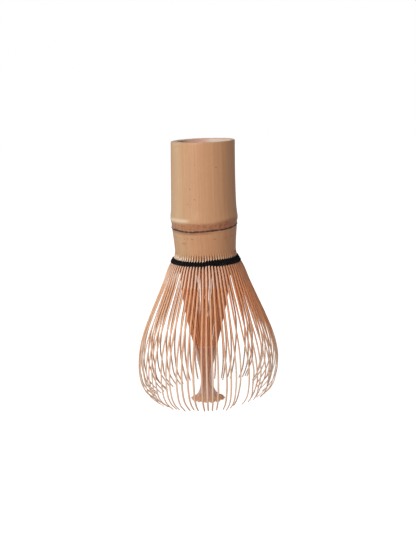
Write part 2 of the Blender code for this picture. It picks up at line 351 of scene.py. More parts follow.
def makeCulmMaterial():
    material, tree, shader = newMaterial("bambooSkin", Roughness=0.42, IOR=1.46)
    place = objectAxes(tree)
    colour, fibres, streaks, mottle = paintSkin(tree, place)
    # the strip between the node's ridge and its sheath scar is ruddy, with a darker line of painted shade
    # under the ridge
    x, y, z = splitAxes(tree, place)
    overScar = attributeField(tree, "overScar")
    uneven = z + mottle * 0.0006 - x.ease(*culmMarks["ridgeDrop"]) * 0.0013
    band = overScar.ease(*culmMarks["overScar"]) * uneven.ease(*culmMarks["ruddyTop"], 1.0, 0.0)
    colour = blend(tree, band, colour, culmPaint["ruddyBand"], "MULTIPLY")
    blotches = grain(tree, place, culmPaint["blotchScale"], detail=3)
    colour = blend(tree, band * blotches.ease(0.5, 0.64, 0.0, 0.6), colour, culmPaint["blot"])
    # painted shade under the ridge, in the streaks' colour
    grooveShade = uneven.between(*culmMarks["grooveShade"])
    colour = blend(tree, grooveShade * 0.3, colour, culmPaint["streak"])
    # painted highlight along the ridge's crest, on the left only
    crest = uneven.between(*culmMarks["crest"]) * x.ease(*culmMarks["crestLitSide"], 0.55, 0.02)
    colour = blend(tree, crest, colour, culmPaint["crest"])
    # a soft shade lies below the scar, left of the middle
    under = overScar.between(*culmMarks["underScar"]) * x.ease(*culmMarks["underScarSide"], 1.0, 0.1)
    colour = blend(tree, under, colour, culmPaint["underScar"], "MULTIPLY")
    # specks are strewn about, and a row of dots runs round the waist
    specks = addNode(
        tree, "ShaderNodeTexVoronoi", {"Vector": place, "Scale": culmPaint["speckScale"], "Randomness": 1.0}
    )
    rare = grain(tree, place, culmPaint["rareScale"], detail=0)
    spots = Field(tree, specks.outputs["Distance"]).ease(0.06, 0.16, 1.0, 0.0) * rare.ease(0.63, 0.68)
    colour = blend(tree, spots * 0.8, colour, culmPaint["speck"])
    rowHeight, rowFull, rowFaded = culmMarks["dotRow"]
    row = (z - rowHeight).calc("ABSOLUTE").ease(rowFull, rowFaded, 1.0, 0.0)
    dots = grain(tree, place, culmPaint["dotScale"], detail=1)
    colour = blend(tree, row * dots.ease(0.58, 0.68) * 0.55, colour, culmPaint["speck"])
    # one ruddy bruise at the lower left of the front
    bruiseX, bruiseHeight, halfWide, halfTall = culmMarks["bruise"]
    aside = (x - bruiseX) / halfWide
    above = (z - bruiseHeight) / halfTall
    bruise = (aside * aside + above * above).ease(0.3, 1.2, 0.55, 0.0)
    bruise = bruise * y.ease(*culmMarks["bruiseFront"], 1.0, 0.0)
    colour = blend(tree, bruise, colour, culmPaint["bruise"])
    # the scar is a dark line of uneven width, and the brim above the slits gets painted shade
    broken = grain(tree, place, culmPaint["brokenScale"], detail=2)
    thin = overScar.calc("ABSOLUTE") - broken.ease(0.3, 0.75, 0.0, 0.00022)
    line = thin.ease(*culmMarks["scarLine"], 1.0, 0.0) * broken.ease(0.25, 0.5, 0.8, 1.0)
    colour = blend(tree, line, colour, culmPaint["scar"])
    brimShade = (z + mottle * 0.0004).ease(*culmMarks["splitBrim"], 0.9, 0.0)
    colour = blend(tree, brimShade, colour, sliverPaint["slit"])
    # the bore has painted shade on the left, is pink in the middle and is nearly white with painted light on
    # the right
    inside = attributeField(tree, "inside")
    bore = blend(tree, x.ease(*culmMarks["boreShadeSide"]), culmPaint["boreShade"], culmPaint["borePink"])
    bore = blend(tree, x.ease(*culmMarks["boreLitSide"]), bore, culmPaint["litBoreWood"])
    colour = blend(tree, inside.ease(0.7, 0.95), colour, bore)
    rim = blend(tree, broken.ease(0.3, 0.7), culmPaint["sawnWood"], culmPaint["sawnPores"])
    colour = blend(tree, inside.between(0.2, 0.4, 0.6, 0.8), colour, rim)
    tree.links.new(colour, shader.inputs["Base Color"])
    gloss = mottle.ease(0.3, 0.7, 0.38, 0.48) + line * 0.3
    tree.links.new(gloss.socket, shader.inputs["Roughness"])
    relief = fibres * 0.6 + streaks * 0.4
    addBump(tree, shader, relief.socket, 0.00004, 0.5)
    return material


# Bamboo of the split tines

sliverPaint = {
    "root": (0.78, 0.49, 0.345),
    "rootShade": (0.615, 0.305, 0.175),
    # painted shade in the gaps between slivers
    "slit": (0.28, 0.095, 0.04),
    "litTongue": (0.64, 0.39, 0.245),
    "tongueHighlight": (0.84, 0.66, 0.50),
    "shaved": (0.73, 0.335, 0.165),
    "tip": (0.68, 0.49, 0.37),
    "paleTip": (0.85, 0.635, 0.485),
    "back": (0.86, 0.29, 0.105),
    "pith": (0.80, 0.57, 0.42),
    "dark": (0.62, 0.26, 0.115),
    "paleLitSide": (0.78, 0.58, 0.41),
    "paintedShadeRight": (0.99, 0.84, 0.72),
    "sideShade": (0.68, 0.48, 0.37),
    "fibre": (0.88, 0.58, 0.38),
    "bundle": (0.68, 0.25, 0.105),
    "bundleFibre": (0.80, 0.40, 0.22),
    "bundleDark": (0.42, 0.13, 0.05),
    "bundleTopShade": (0.56, 0.16, 0.06),
    "veiled": (0.53, 0.20, 0.11),
    "haze": (0.74, 0.60, 0.53),
    "lip": (0.84, 0.47, 0.265),
    "outerFibreScale": (1800, 1800, 60),
    "innerFibreScale": (2200, 2200, 40),
}

outerMarks = inMetres({
    # across, from the left (minus) to the right
    "rootSide": (2.0, 11.0),
    "tipSide": (-20.0, 20.0),
    "openSide": (-18.0, -4.0),
    "leftLitSide": (-28.0, -4.0),
    "paintedShadeRight": (3.0, 13.0),
    "tongueSide": (-12.0, -3.0),
    # upwards
    "skinEnd": (52.4, 53.0),
    "slitFoot": (56.0, 62.0),
    "tongueFoot": (62.6, 64.0),
    "tongueTop": (64.0, 65.6),
    "slitV": (62.6, 66.0),
})

innerMarks = inMetres({
    "lip": (1.0, 2.6),
    "flare": (3.0, 10.0),
    "shaveEdge": (23.6, 25.0),
    "shaveLine": (24.3, 0.1, 0.3),  # height, then half its width in full and faded
    "darkFoot": (23.8, 25.0),
    "top": (44.0, 56.0),
})


def makeOuterMaterial():
    material, tree, shader = newMaterial("cageSlivers", Roughness=0.5, IOR=1.46)
    place = objectAxes(tree)
    x, y, z = splitAxes(tree, place)
    along = attributeField(tree, "along")
    tint = attributeField(tree, "tint")
    skinSide = attributeField(tree, "skinSide")
    # above the shave line the slivers keep their skin; its pale colour is partly the skin's own and partly a
    # painted reflection of the light on the glossy skin, with painted shade towards the right
    skinEnd = (z + tint * 0.0005).ease(*outerMarks["skinEnd"])
    root = blend(tree, x.ease(*outerMarks["rootSide"]), sliverPaint["root"], sliverPaint["rootShade"])
    colour = blend(tree, skinEnd, sliverPaint["shaved"], root)
    tip = blend(tree, x.ease(*outerMarks["tipSide"]), sliverPaint["tip"], sliverPaint["paleTip"])
    colour = blend(tree, along.ease(0.42, 0.8), colour, tip)
    back = blend(tree, along.ease(0.15, 0.6), sliverPaint["back"], sliverPaint["pith"])
    colour = blend(tree, skinSide.ease(0.1, 0.5), back, colour)
    # painted shade falls on slivers at random, less on the left side, which lies open to the light
    shaded = x.ease(*outerMarks["openSide"], 0.3, 1.0)
    colour = blend(tree, shaded * tint * 0.35, colour, sliverPaint["dark"])
    # painted light: the slivers on the lit left side are paler
    leftLit = x.ease(*outerMarks["leftLitSide"], 0.55, 0.0) * along.ease(0.4, 0.7, 1.0, 0.0)
    colour = blend(tree, leftLit, colour, sliverPaint["paleLitSide"])
    fibres = grain(tree, place, sliverPaint["outerFibreScale"], detail=2)
    colour = blend(tree, fibres.ease(0.35, 0.75, 0.0, 0.3), colour, sliverPaint["fibre"])
    # painted shade on the slivers at the right
    rightShaded = x.ease(*outerMarks["paintedShadeRight"]) * along.ease(0.45, 0.75, 1.0, 0.0)
    colour = blend(tree, rightShaded, colour, sliverPaint["paintedShadeRight"], "MULTIPLY")
    across = attributeField(tree, "across")
    shadeSide = across.ease(0.2, 0.5, 0.0, 0.5) * shaded
    colour = blend(tree, shadeSide, colour, sliverPaint["sideShade"], "MULTIPLY")
    # between the slits the skin runs up to the culm; the tongues are paler with painted light, with a painted
    # highlight on the left, and painted shade lies as a dark V on both edges of each tongue
    skin = paintSkin(tree, place)[0]
    tongueSide = x.ease(*outerMarks["tongueSide"])
    litTongue = blend(tree, tongueSide, sliverPaint["tongueHighlight"], sliverPaint["litTongue"])
    litTongue = blend(tree, (z + tint * 0.0012).ease(*outerMarks["tongueTop"]), litTongue, skin)
    colour = blend(tree, (z + tint * 0.0008).ease(*outerMarks["tongueFoot"]), colour, litTongue)
    edge = across.calc("ABSOLUTE") - (z + tint * 0.0022).ease(*outerMarks["slitV"], 0.34, 0.52)
    slit = edge.ease(0.0, 0.06) * z.ease(*outerMarks["slitFoot"])
    colour = blend(tree, slit * (tint * 0.4 + 0.55), colour, sliverPaint["slit"])
    tree.links.new(colour, shader.inputs["Base Color"])
    addBump(tree, shader, fibres.socket, 0.00003, 0.4)
    return material


def makeInnerMaterial():
    material, tree, shader = newMaterial("bundleSlivers", Roughness=0.55, IOR=1.46)
    place = objectAxes(tree)
    x, y, z = splitAxes(tree, place)
    tint = attributeField(tree, "tint")
    # below the shave line the bundle is veiled in front, hazy at both sides and paler at its flare
    sideways = attributeField(tree, "sideways")
    shaved = blend(tree, sideways.ease(0.55, 0.9), sliverPaint["veiled"], sliverPaint["haze"])
    shaved = blend(tree, tint * 0.3, shaved, sliverPaint["haze"])
    shaved = blend(tree, z.ease(*innerMarks["flare"], 0.4, 0.0), shaved, sliverPaint["haze"])
    unshaved = (z + tint * 0.0004).ease(*innerMarks["shaveEdge"])
    colour = blend(tree, unshaved, shaved, sliverPaint["bundle"])
    colour = blend(tree, z.ease(*innerMarks["lip"], 1.0, 0.0), colour, sliverPaint["lip"])
    # painted shade on the bundle's top, deep inside the cage
    colour = blend(tree, z.ease(*innerMarks["top"]), colour, sliverPaint["bundleTopShade"])
    lineHeight, lineFull, lineFaded = innerMarks["shaveLine"]
    line = (z - lineHeight).calc("ABSOLUTE").ease(lineFull, lineFaded, 1.0, 0.0)
    colour = blend(tree, line * 0.6, colour, sliverPaint["haze"])
    dark = (1.0 - tint) * z.ease(*innerMarks["darkFoot"], 0.15, 0.5)
    colour = blend(tree, dark, colour, sliverPaint["bundleDark"])
    fibres = grain(tree, place, sliverPaint["innerFibreScale"], detail=2)
    colour = blend(tree, fibres.ease(0.35, 0.75, 0.0, 0.25), colour, sliverPaint["bundleFibre"])
    tree.links.new(colour, shader.inputs["Base Color"])
    addBump(tree, shader, fibres.socket, 0.00003, 0.4)
    return material


# Black cotton

threadPaint = {
    "black": (0.0025, 0.0025, 0.003),
    "fleck": (0.008, 0.009, 0.012),
    "fleckScale": (5000, 5000, 5000),
    "sheen": (0.6, 0.7, 1.0, 1),
}


def makeThreadMaterial():
    material, tree, shader = newMaterial(
        "blackCotton",
        Roughness=0.7,
        IOR=1.22,
        Sheen_Weight=0.02,
        Sheen_Roughness=0.4,
        Sheen_Tint=threadPaint["sheen"],
    )
    place = objectAxes(tree)
    # faint bluish flecks in the black
    fleck = grain(tree, place, threadPaint["fleckScale"], detail=2)
    colour = blend(tree, fleck.ease(0.4, 0.75), threadPaint["black"], threadPaint["fleck"])
    tree.links.new(colour, shader.inputs["Base Color"])
    addBump(tree, shader, fleck.socket, 0.00005, 0.6)
    return material


culmMaterial = makeCulmMaterial()
outerMaterial = makeOuterMaterial()
innerMaterial = makeInnerMaterial()
threadMaterial = makeThreadMaterial()
print("materials made")


# The culm is a turned tube with its node, from the slits up to the sawn rim

culm = {
    # millimetres; the outline is (radius, height) from the slits up
    "base": 64.8,
    "rim": 112.46,
    "outline": [
        (12.55, 64.7), (12.9, 65.5), (13.05, 66.6), (13.22, 69.5), (13.48, 72.5), (13.72, 75.0),
        (13.86, 76.8), (13.93, 77.9), (14.0, 78.4), (14.2, 79.0), (14.30, 80.0), (14.22, 81.2),
        (14.02, 82.8), (13.88, 84.6), (13.77, 88.0), (13.70, 92.0), (13.60, 99.0), (13.55, 106.0),
        (13.50, 112.2),
    ],
    "sides": 160,
    "step": 1.4,
    "nodeStep": 0.45,  # up to the top of the node
    "nodeTop": 84.5,
    "scarStep": 0.12,  # near the scar
    "scarNear": 1.8,
    "wander": 0.05,
    "ridge": 80.0,
    "ridgeHalf": 3.5,
    "ridgeWander": 0.35,
    "leanFrom": 64.5,
    "lean": 0.5,
    "bow": 0.34,
    "wall": 2.0,
    "rimRound": 0.3,
    "rimUneven": 0.05,
    "boreShift": 0.8,
    "boreTaper": 0.3,
    "boreFillet": 1.5,
    "septumTop": 80.0,
    "septumBase": 78.2,
    "lowerBore": 10.7,
    "scarHeight": 76.55,
    "scarRadius": 13.8,
    "scarTilt": 0.030,  # slopes, to the right and to the rear
    "scarDip": 0.065,
    "scarWobble": 0.22,
    "scarRipple": 0.08,
    "scarProud": 0.30,
    "scarHalf": 0.28,
}


def smoothRadius(points, height):
    # a smooth curve through the outline's points, read at one height
    for (r0, z0), (r1, z1) in zip(points, points[1:]):
        if z0 <= height <= z1:
            i = points.index((r0, z0))
            before = points[max(0, i - 1)]
            after = points[min(len(points) - 1, i + 2)]
            m0 = (r1 - before[0]) / (z1 - before[1])
            m1 = (after[0] - r0) / (after[1] - z0)
            span = z1 - z0
            t = (height - z0) / span
            start = (1 + 2 * t) * (1 - t) ** 2 * r0 + t * (1 - t) ** 2 * span * m0
            end = t * t * (3 - 2 * t) * r1 + t * t * (t - 1) * span * m1
            return start + end
    return points[0][0] if height < points[0][1] else points[-1][0]


def culmLean(height):
    # the culm leans to the right and bows a little to the left between its ends
    share = (height - culm["leanFrom"]) / (culm["rim"] - culm["leanFrom"])
    return culm["lean"] * share - culm["bow"] * math.sin(math.pi * share)


def ringNoise(turn, reach, level):
    # noise read round a circle, so that it meets itself after one turn
    return noise.noise(Vector((math.cos(turn) * reach, math.sin(turn) * reach, level)))


def scarHeightAt(turn):
    slope = culm["scarTilt"] * math.cos(turn) + culm["scarDip"] * math.sin(turn)
    wobble = culm["scarWobble"] * ringNoise(turn, 3, 4.7)
    ripple = culm["scarRipple"] * ringNoise(turn, 12, 1.3)
    return culm["scarHeight"] + culm["scarRadius"] * slope + wobble + ripple


def culmHeights():
    # heights of the rings up the skin, closest at the scar
    heights = []
    height = culm["base"]
    top = culm["rim"] - culm["rimRound"]
    while height < top:
        heights.append(height)
        if abs(height - culm["scarHeight"]) < culm["scarNear"]:
            height += culm["scarStep"]
        elif height < culm["nodeTop"]:
            height += culm["nodeStep"]
        else:
            height += culm["step"]
    heights.append(top)
    return heights


def buildCulm():
    mesh = bmesh.new()
    scarLayer = mesh.verts.layers.float.new("overScar")
    insideLayer = mesh.verts.layers.float.new("inside")
    sides = culm["sides"]

    def addRing(radiusAt, height, inside, shift=0.0):
        ring = []
        for k in range(sides):
            turn = fullTurn * k / sides
            radius, lift = radiusAt(turn)
            x = radius * math.cos(turn) + shift + culmLean(height)
            vert = mesh.verts.new((x * mm, radius * math.sin(turn) * mm, (height + lift) * mm))
            vert[scarLayer] = (height + lift - scarHeightAt(turn)) * mm if inside < 0.1 else 0.05
            vert[insideLayer] = inside
            ring.append(vert)
        return ring

    def skinAt(height):
        def radiusAt(turn):
            # the ridge and the whole skin wander a little, as grown bamboo does
            wander = culm["wander"] * ringNoise(turn, 1.5, height * 0.05)
            crest = culm["ridgeWander"] * ringNoise(turn, 2.2, 9.1)
            nearRidge = math.exp(-(((height - culm["ridge"]) / culm["ridgeHalf"]) ** 2))
            radius = smoothRadius(culm["outline"], height - crest * nearRidge) + wander
            off = (height - scarHeightAt(turn)) / culm["scarHalf"]
            torn = 0.65 + 0.7 * ringNoise(turn, 30, height * 2)
            radius += culm["scarProud"] * math.exp(-off * off) * max(0.1, torn)
            return radius, 0.0
        return radiusAt

    def plain(radius):
        return lambda turn: (radius, 0.0)

    def sawn(radius):
        # the saw leaves the rim slightly uneven
        return lambda turn: (radius, culm["rimUneven"] * ringNoise(turn, 2, radius))

    rings = [addRing(skinAt(height), height, 0.0) for height in culmHeights()]
    rim, shift, fillet = culm["rim"], culm["boreShift"], culm["boreFillet"]
    rimOut = smoothRadius(culm["outline"], rim)
    mouth = rimOut - culm["wall"]
    # over the rim's rounded edges and into the bore, whose mouth stands off centre
    rings.append(addRing(sawn(rimOut - 0.08), rim - 0.1, 0.3))
    rings.append(addRing(sawn(rimOut - 0.25), rim - 0.02, 0.5))
    rings.append(addRing(sawn(mouth + 0.9), rim, 0.5, shift * 0.5))
    rings.append(addRing(sawn(mouth + 0.25), rim - 0.02, 0.5, shift))
    rings.append(addRing(sawn(mouth + 0.05), rim - 0.15, 0.6, shift))
    depth = rim - culm["septumTop"] - fillet
    for share in (0.01, 0.05, 0.2, 0.4, 0.6, 0.8, 0.95):
        height = rim - culm["rimRound"] - share * depth
        rings.append(addRing(plain(mouth - culm["boreTaper"] * share), height, 1.0, shift * (1 - share)))
    # the bore ends in a fillet and a shallow dish on the septum
    for k in range(1, 5):
        bend = math.pi / 2 * k / 4
        radius = mouth - culm["boreTaper"] - fillet * (1 - math.cos(bend))
        rings.append(addRing(plain(radius), culm["septumTop"] + fillet * (1 - math.sin(bend)), 1.0))
    for radius in (7.0, 4.0, 1.5):
        rings.append(addRing(plain(radius), culm["septumTop"] - 0.03 * (9 - radius), 1.0))
    top = mesh.verts.new((culmLean(80) * mm, 0, (culm["septumTop"] - 0.3) * mm))
    top[insideLayer] = 1.0
    # from the septum's underside down the lower bore, which the slivers hide
    below, lowerBore = culm["septumBase"], culm["lowerBore"]
    underOutline = (
        (2.0, below), (7.0, below), (lowerBore - fillet, below), (lowerBore - 0.4, below - 0.4),
        (lowerBore, below - fillet), (lowerBore, 72.0), (lowerBore, culm["base"]),
    )
    under = [addRing(plain(radius), height, 1.0) for radius, height in underOutline]
    bottom = mesh.verts.new((culmLean(78) * mm, 0, below * mm))
    bottom[insideLayer] = 1.0
    for stack in (rings, under):
        for first, second in zip(stack, stack[1:]):
            for k in range(sides):
                j = (k + 1) % sides
                mesh.faces.new((first[k], first[j], second[j], second[k]))
    for k in range(sides):
        j = (k + 1) % sides
        mesh.faces.new((rings[-1][k], rings[-1][j], top))
        mesh.faces.new((under[0][k], under[0][j], bottom))
        mesh.faces.new((under[-1][k], under[-1][j], rings[0][j], rings[0][k]))
    bmesh.ops.recalc_face_normals(mesh, faces=mesh.faces)
    data = bpy.data.meshes.new("culm")
    mesh.to_mesh(data)
    mesh.free()
    data.shade_smooth()
    data.materials.append(culmMaterial)
    piece = bpy.data.objects.new("culm", data)
    bpy.context.scene.collection.objects.link(piece)
    print("culm has", len(data.polygons), "faces")
    return piece


culmPiece = buildCulm()
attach(culmPiece, "root")
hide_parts("handle")


# One tree grows both rings, each sliver swept down a profile and shaved thin

sliverShape = {
    # shares of the root's width and thickness, from the root at 0 to the tip at 1
    "outerWidth": [
        (0, 1), (0.012, 0.97), (0.036, 0.8), (0.06, 0.74), (0.2, 0.72), (0.35, 0.76), (0.7, 0.78),
        (0.93, 0.7), (1, 0.48),
    ],
    "innerWidth": [(0, 0.98), (0.3, 0.74), (0.55, 0.5), (0.75, 0.34), (0.86, 0.3), (0.93, 0.52), (1, 1)],
    "outerThick": [
        (0, 1), (0.05, 0.95), (0.09, 0.72), (0.18, 0.6), (0.28, 0.48), (0.5, 0.44), (0.7, 0.38), (1, 0.28),
    ],
    "innerThick": [(0, 1), (0.15, 0.8), (0.5, 0.42), (0.8, 0.32), (1, 0.3)],
    "rounding": 0.22,
    "slitTop": 64.5 * mm,
    "bowTop": 62.2 * mm,
}

# degrees from the right round to the left: each segment of the split culm holds four slivers,
# but on the left one holds three and the next one five
segments = {
    "first": 17.5,
    "span": 20.0,
    "threeFrom": 117.0,
    "fiveFrom": 132.5,
    "fiveTo": 157.5,
    "sliver": 5.0,
    "reach": 185.0,
    "clustering": [
        (0, 0.2), (0.31, 0.25), (0.45, 0.35), (0.64, 0.4), (0.76, 0.4), (0.85, 0.85), (0.92, 0.3), (1, 0.2),
    ],
}


def buildTineTree():
    tree, given = newTree(
        "splitTines",
        {
            "Object": ["Profile"],
            "Int": ["Tines", "Sections", "Seed"],
            "Float": [
                "Phase", "Inner", "Root Width", "Root Thickness", "Drift", "Tip Drift", "Swell", "Curl",
                "Short", "Tangle", "Bunch", "Twist", "Parting", "Gather", "Lean", "Bow", "Sway",
                "Rear Shift", "Rear Fill", "Rear Cut", "Right Cut", "Right Tuck", "Right Heft",
            ],
            "Material": ["Material"],
        },
    )
    seed = given["Seed"]
    line = addNode(tree, "GeometryNodeMeshLine", {"Count": given["Tines"], "Offset": (0, 0, 0)})
    sliver = addNode(
        tree,
        "GeometryNodeMeshCube",
        {"Size": (1, 1, 1), "Vertices X": 3, "Vertices Y": 3, "Vertices Z": given["Sections"]},
    )
    placed = addNode(
        tree,
        "GeometryNodeInstanceOnPoints",
        {"Points": line.outputs["Mesh"], "Instance": sliver.outputs["Mesh"]},
    )
    number = Field(tree, addNode(tree, "GeometryNodeInputIndex").outputs[0])
    geometry = placed.outputs["Instances"]
    turn = (number + given["Phase"]) * fullTurn / given["Tines"]
    geometry = storeField(tree, geometry, "turn", turn, "INSTANCE")
    geometry = storeField(tree, geometry, "sideways", turn.cos() * turn.cos(), "INSTANCE")
    geometry = storeField(tree, geometry, "tint", randomField(tree, seed, 0.0, 1.0), "INSTANCE")
    for step, name in enumerate(("drift", "tipDrift", "swell", "curl", "short"), 1):
        geometry = storeField(tree, geometry, name, randomField(tree, seed + step), "INSTANCE")
    real = addNode(tree, "GeometryNodeRealizeInstances", {"Geometry": geometry})

    # each box is read as thickness, width and length, then laid along the profile
    local = addNode(tree, "GeometryNodeInputPosition").outputs[0]
    thick, wide, tall = splitAxes(tree, local)
    along = 0.5 - tall
    geometry = storeField(tree, real.outputs[0], "along", along)
    geometry = storeField(tree, geometry, "skinSide", thick + 0.5)
    geometry = storeField(tree, geometry, "across", wide)
    along = namedField(tree, "along")
    turn = namedField(tree, "turn")
    depth = namedField(tree, "skinSide") - 0.5
    sideways = namedField(tree, "sideways")
    side = namedField(tree, "across")
    rounding = sliverShape["rounding"]
    depthRound = depth * (1.0 - side * side * 4.0 * rounding)
    sideRound = side * (1.0 - depth * depth * 4.0 * rounding)

    # slivers end a little short at random, and more so towards the right and in the middle of the rear
    rightward = turn.cos().ease(-0.3, 1.0)
    cut = turn.cos().ease(0.25, 0.8) * turn.cos().ease(0.8, 1.0, 1.0, 0.3) * given["Right Cut"]
    cut = cut + turn.sin().ease(0.75, 0.95) * along.ease(0.75, 1.0) * given["Rear Cut"]
    read = along * (1.0 - given["Short"] * (namedField(tree, "short") * 0.5 + 0.5) - cut)
    source = addNode(tree, "GeometryNodeObjectInfo", {"Object": given["Profile"]})
    sample = addNode(
        tree, "GeometryNodeSampleCurve", {"Curves": source.outputs["Geometry"], "Factor": read}, mode="FACTOR"
    )
    radius, nought, height = splitAxes(tree, sample.outputs["Position"])
    runOut, nought, runDown = splitAxes(tree, sample.outputs["Tangent"])

    outerWidth = along.curve(sliverShape["outerWidth"])
    innerWidth = along.curve(sliverShape["innerWidth"])
    outerThick = along.curve(sliverShape["outerThick"])
    innerThick = along.curve(sliverShape["innerThick"])
    inner = given["Inner"]
    # the outer slivers at the right are wider at their roots and narrower towards their tips
    width = given["Root Width"] * (outerWidth * (1.0 - inner) + innerWidth * inner)
    narrowing = turn.cos().ease(-0.3, 0.5) * along.ease(0.25, 0.5, -0.1, 0.18)
    width = width * (1.0 - narrowing * (1.0 - inner))
    # the bundle opens a little in the middle, so the ground shows through between its slivers
    apart = turn.cos() * 3.4 + along * 0.9
    opened = (apart * apart * -1.0).calc("EXPONENT") * along.ease(0.02, 0.1)
    width = width * (1.0 - given["Parting"] * 1.3 * opened * along.ease(0.30, 0.50, 1.0, 0.0))
    thickness = given["Root Thickness"] * (outerThick * (1.0 - inner) + innerThick * inner)
    thickness = thickness * (1.0 + turn.cos() * given["Right Heft"] * along.ease(0.6, 0.85, 1.0, 0.1))

    inward = (depthRound - 0.5) * thickness
    hook = along.ease(0.72, 1.0)
    radius = radius - inward * runDown + namedField(tree, "swell") * given["Swell"] * along.ease(0.1, 0.6)
    radius = radius - namedField(tree, "curl") * given["Curl"] * hook
    radius = radius - rightward * given["Right Tuck"] * height.ease(0.002, 0.021, 1.0, 0.0)
    # below the shave line the inner slivers draw in, and those at both sides stand off as a haze
    shaved = height.between(0.003, 0.008, 0.0205, 0.0243)
    radius = radius - shaved * sideways.ease(0.6, 0.9, 1.0, 0.0) * given["Gather"]
    height = height + inward * runOut
    # rear slivers stand behind the front ones, as they do in the photograph's view
    atRear = turn.sin().ease(-0.02, 0.02)
    leaving = along.ease(0.04, 0.22)
    rear = atRear * given["Rear Shift"] * turn.cos() * leaving
    filling = turn.cos().ease(0.44, 0.55) * turn.cos().ease(0.6, 0.78, 1.0, 0.3) * given["Rear Fill"]
    rear = rear - atRear * filling * leaving * along.ease(0.5, 0.8, 1.0, 0.3)
    parted = given["Parting"] * apart * opened * along.ease(0.28, 0.42, 1.0, 0.3)
    # the culm is first split into segments, whose slivers stay a little closer together
    fold = turn.cos().calc("ARCCOSINE") * math.degrees(1)
    ahead = fold.calc("GREATER_THAN", segments["threeFrom"]) * segments["sliver"]
    behind = fold.ease(segments["fiveFrom"], segments["fiveTo"]) * segments["sliver"]
    fold = fold + ahead - behind
    inSegment = ((fold - segments["first"]) / segments["span"]).calc("FRACT") - 0.5
    clustering = (fold / segments["reach"]).curve(segments["clustering"]) * along.ease(0.04, 0.45)
    clustering = clustering + turn.cos().ease(0.0, 0.5, 0.0, 0.6) * along.ease(0.5, 0.85)
    bunched = inSegment * math.radians(segments["span"]) * given["Bunch"] * clustering
    # slivers in the middle stray less and twist less
    aside = sideways.ease(0.0, 0.12)
    twisted = given["Twist"] * (turn.cos() * 0.4 + aside * 0.4 + 0.8) * along.ease(0.1, 0.6)
    aim = turn + rear + (parted - bunched + twisted) * turn.sin().calc("SIGN")
    settled = aside * (1.0 - inner) * 0.7 + inner * 0.7 + 0.3
    aim = aim + namedField(tree, "drift") * given["Drift"] * settled * along.ease(0.05, 0.6)
    strayed = given["Tip Drift"] * settled * (sideways * (turn.cos() * 0.2 + 0.6) + 0.2)
    aim = aim + namedField(tree, "tipDrift") * strayed * along.ease(0.55, 1.0)
    # the tips at both sides curl into a tangle
    wave = (along * 26.0 + namedField(tree, "tipDrift") * 5.0).sin() * namedField(tree, "swell")
    aim = aim + wave * given["Tangle"] * sideways * along.ease(0.68, 0.88)
    reach = sideRound * width
    leaning = (sliverShape["slitTop"] - height) / sliverShape["slitTop"] * given["Lean"]
    bowed = (height / sliverShape["bowTop"] * math.pi).sin() * given["Bow"]
    # the neck of the bundle stands a little to the left of its lip
    swayed = height.between(0.002, 0.009, 0.010, 0.024) * given["Sway"]
    x = radius * aim.cos() - reach * aim.sin() - leaning - bowed - swayed
    y = radius * aim.sin() + reach * aim.cos()
    moved = addNode(
        tree, "GeometryNodeSetPosition", {"Geometry": geometry, "Position": joinAxes(tree, x, y, height)}
    )
    endTree(tree, moved.outputs[0], given["Material"])
    return tree


tineTree = buildTineTree()

# profiles are (radius, height) of the skin side in millimetres, from the slit's top to the tip;
# drifts, shifts and the twist are radians round the ring, and cuts are shares of the length
outerTines = {
    "profile": [
        (12.7, 67.2), (12.98, 66.1), (13.13, 65.2), (13.36, 63.8), (14.2, 62.2), (15.8, 59.6),
        (18.75, 52.2), (22.0, 44.6), (25.3, 36.9), (28.2, 29.3), (29.9, 22.6), (30.5, 16.8),
        (30.05, 11.1), (28.3, 6.0), (22.8, 0.6),
    ],
    "values": {
        "Tines": 72,
        "Sections": 56,
        "Seed": 4,
        "Root Width": 1.15 * mm,
        "Root Thickness": 1.05 * mm,
        "Drift": 0.009,
        "Tip Drift": 0.04,
        "Swell": 0.2 * mm,  # how far slivers stray outwards or inwards
        "Curl": 0.9 * mm,  # how far their tips curl outwards or inwards besides
        "Short": 0.016,
        "Tangle": 0.04,
        "Bunch": 0.27,
        "Twist": 0.035,
        "Lean": 0.6 * mm,  # to the left, at the floor
        "Rear Shift": 0.065,
        "Rear Fill": 0.105,
        "Rear Cut": 0.02,
        "Right Cut": 0.07,
        "Right Tuck": 1.6 * mm,
        "Right Heft": 0.2,
    },
}

innerTines = {
    "profile": [
        (11.6, 63.9), (11.3, 60.0), (10.4, 52.0), (9.1, 42.0), (7.0, 32.0), (5.15, 24.3), (3.7, 17.5),
        (2.5, 12.0), (2.2, 8.8), (2.65, 5.9), (3.85, 2.8), (5.6, 1.1), (7.6, 0.34),
    ],
    "values": {
        "Tines": 72,
        "Sections": 52,
        "Seed": 21,
        "Phase": 0.5,  # they stand behind the slits of the outer ring
        "Inner": 1.0,
        "Root Width": 0.98 * mm,
        "Root Thickness": 1.1 * mm,
        "Drift": 0.022,
        "Tip Drift": 0.05,
        "Swell": 0.12 * mm,
        "Curl": 0.2 * mm,
        "Short": 0.018,
        "Bunch": 0.1,
        "Parting": 0.3,
        "Gather": 0.55 * mm,
        "Lean": 1.3 * mm,
        "Bow": 0.6 * mm,
        "Sway": 0.35 * mm,
    },
}


def growTines(name, ring, material, stem):
    line = drawProfile(name + "Profile", ring["profile"])
    piece = growPiece(name, tineTree, {**ring["values"], "Profile": line, "Material": material})
    bpy.data.objects.remove(line)
    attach(piece, "root")
    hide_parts(*[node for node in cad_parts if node.startswith(stem)])
    return piece


outerPiece = growTines("outerTines", outerTines, outerMaterial, "outer_tines_")
innerPiece = growTines("innerTines", innerTines, innerMaterial, "inner_tines_")


# The lacing is four plies that swell over every tine and dip at every slit: two are twisted,
# and two straight ones fill the row and its seam

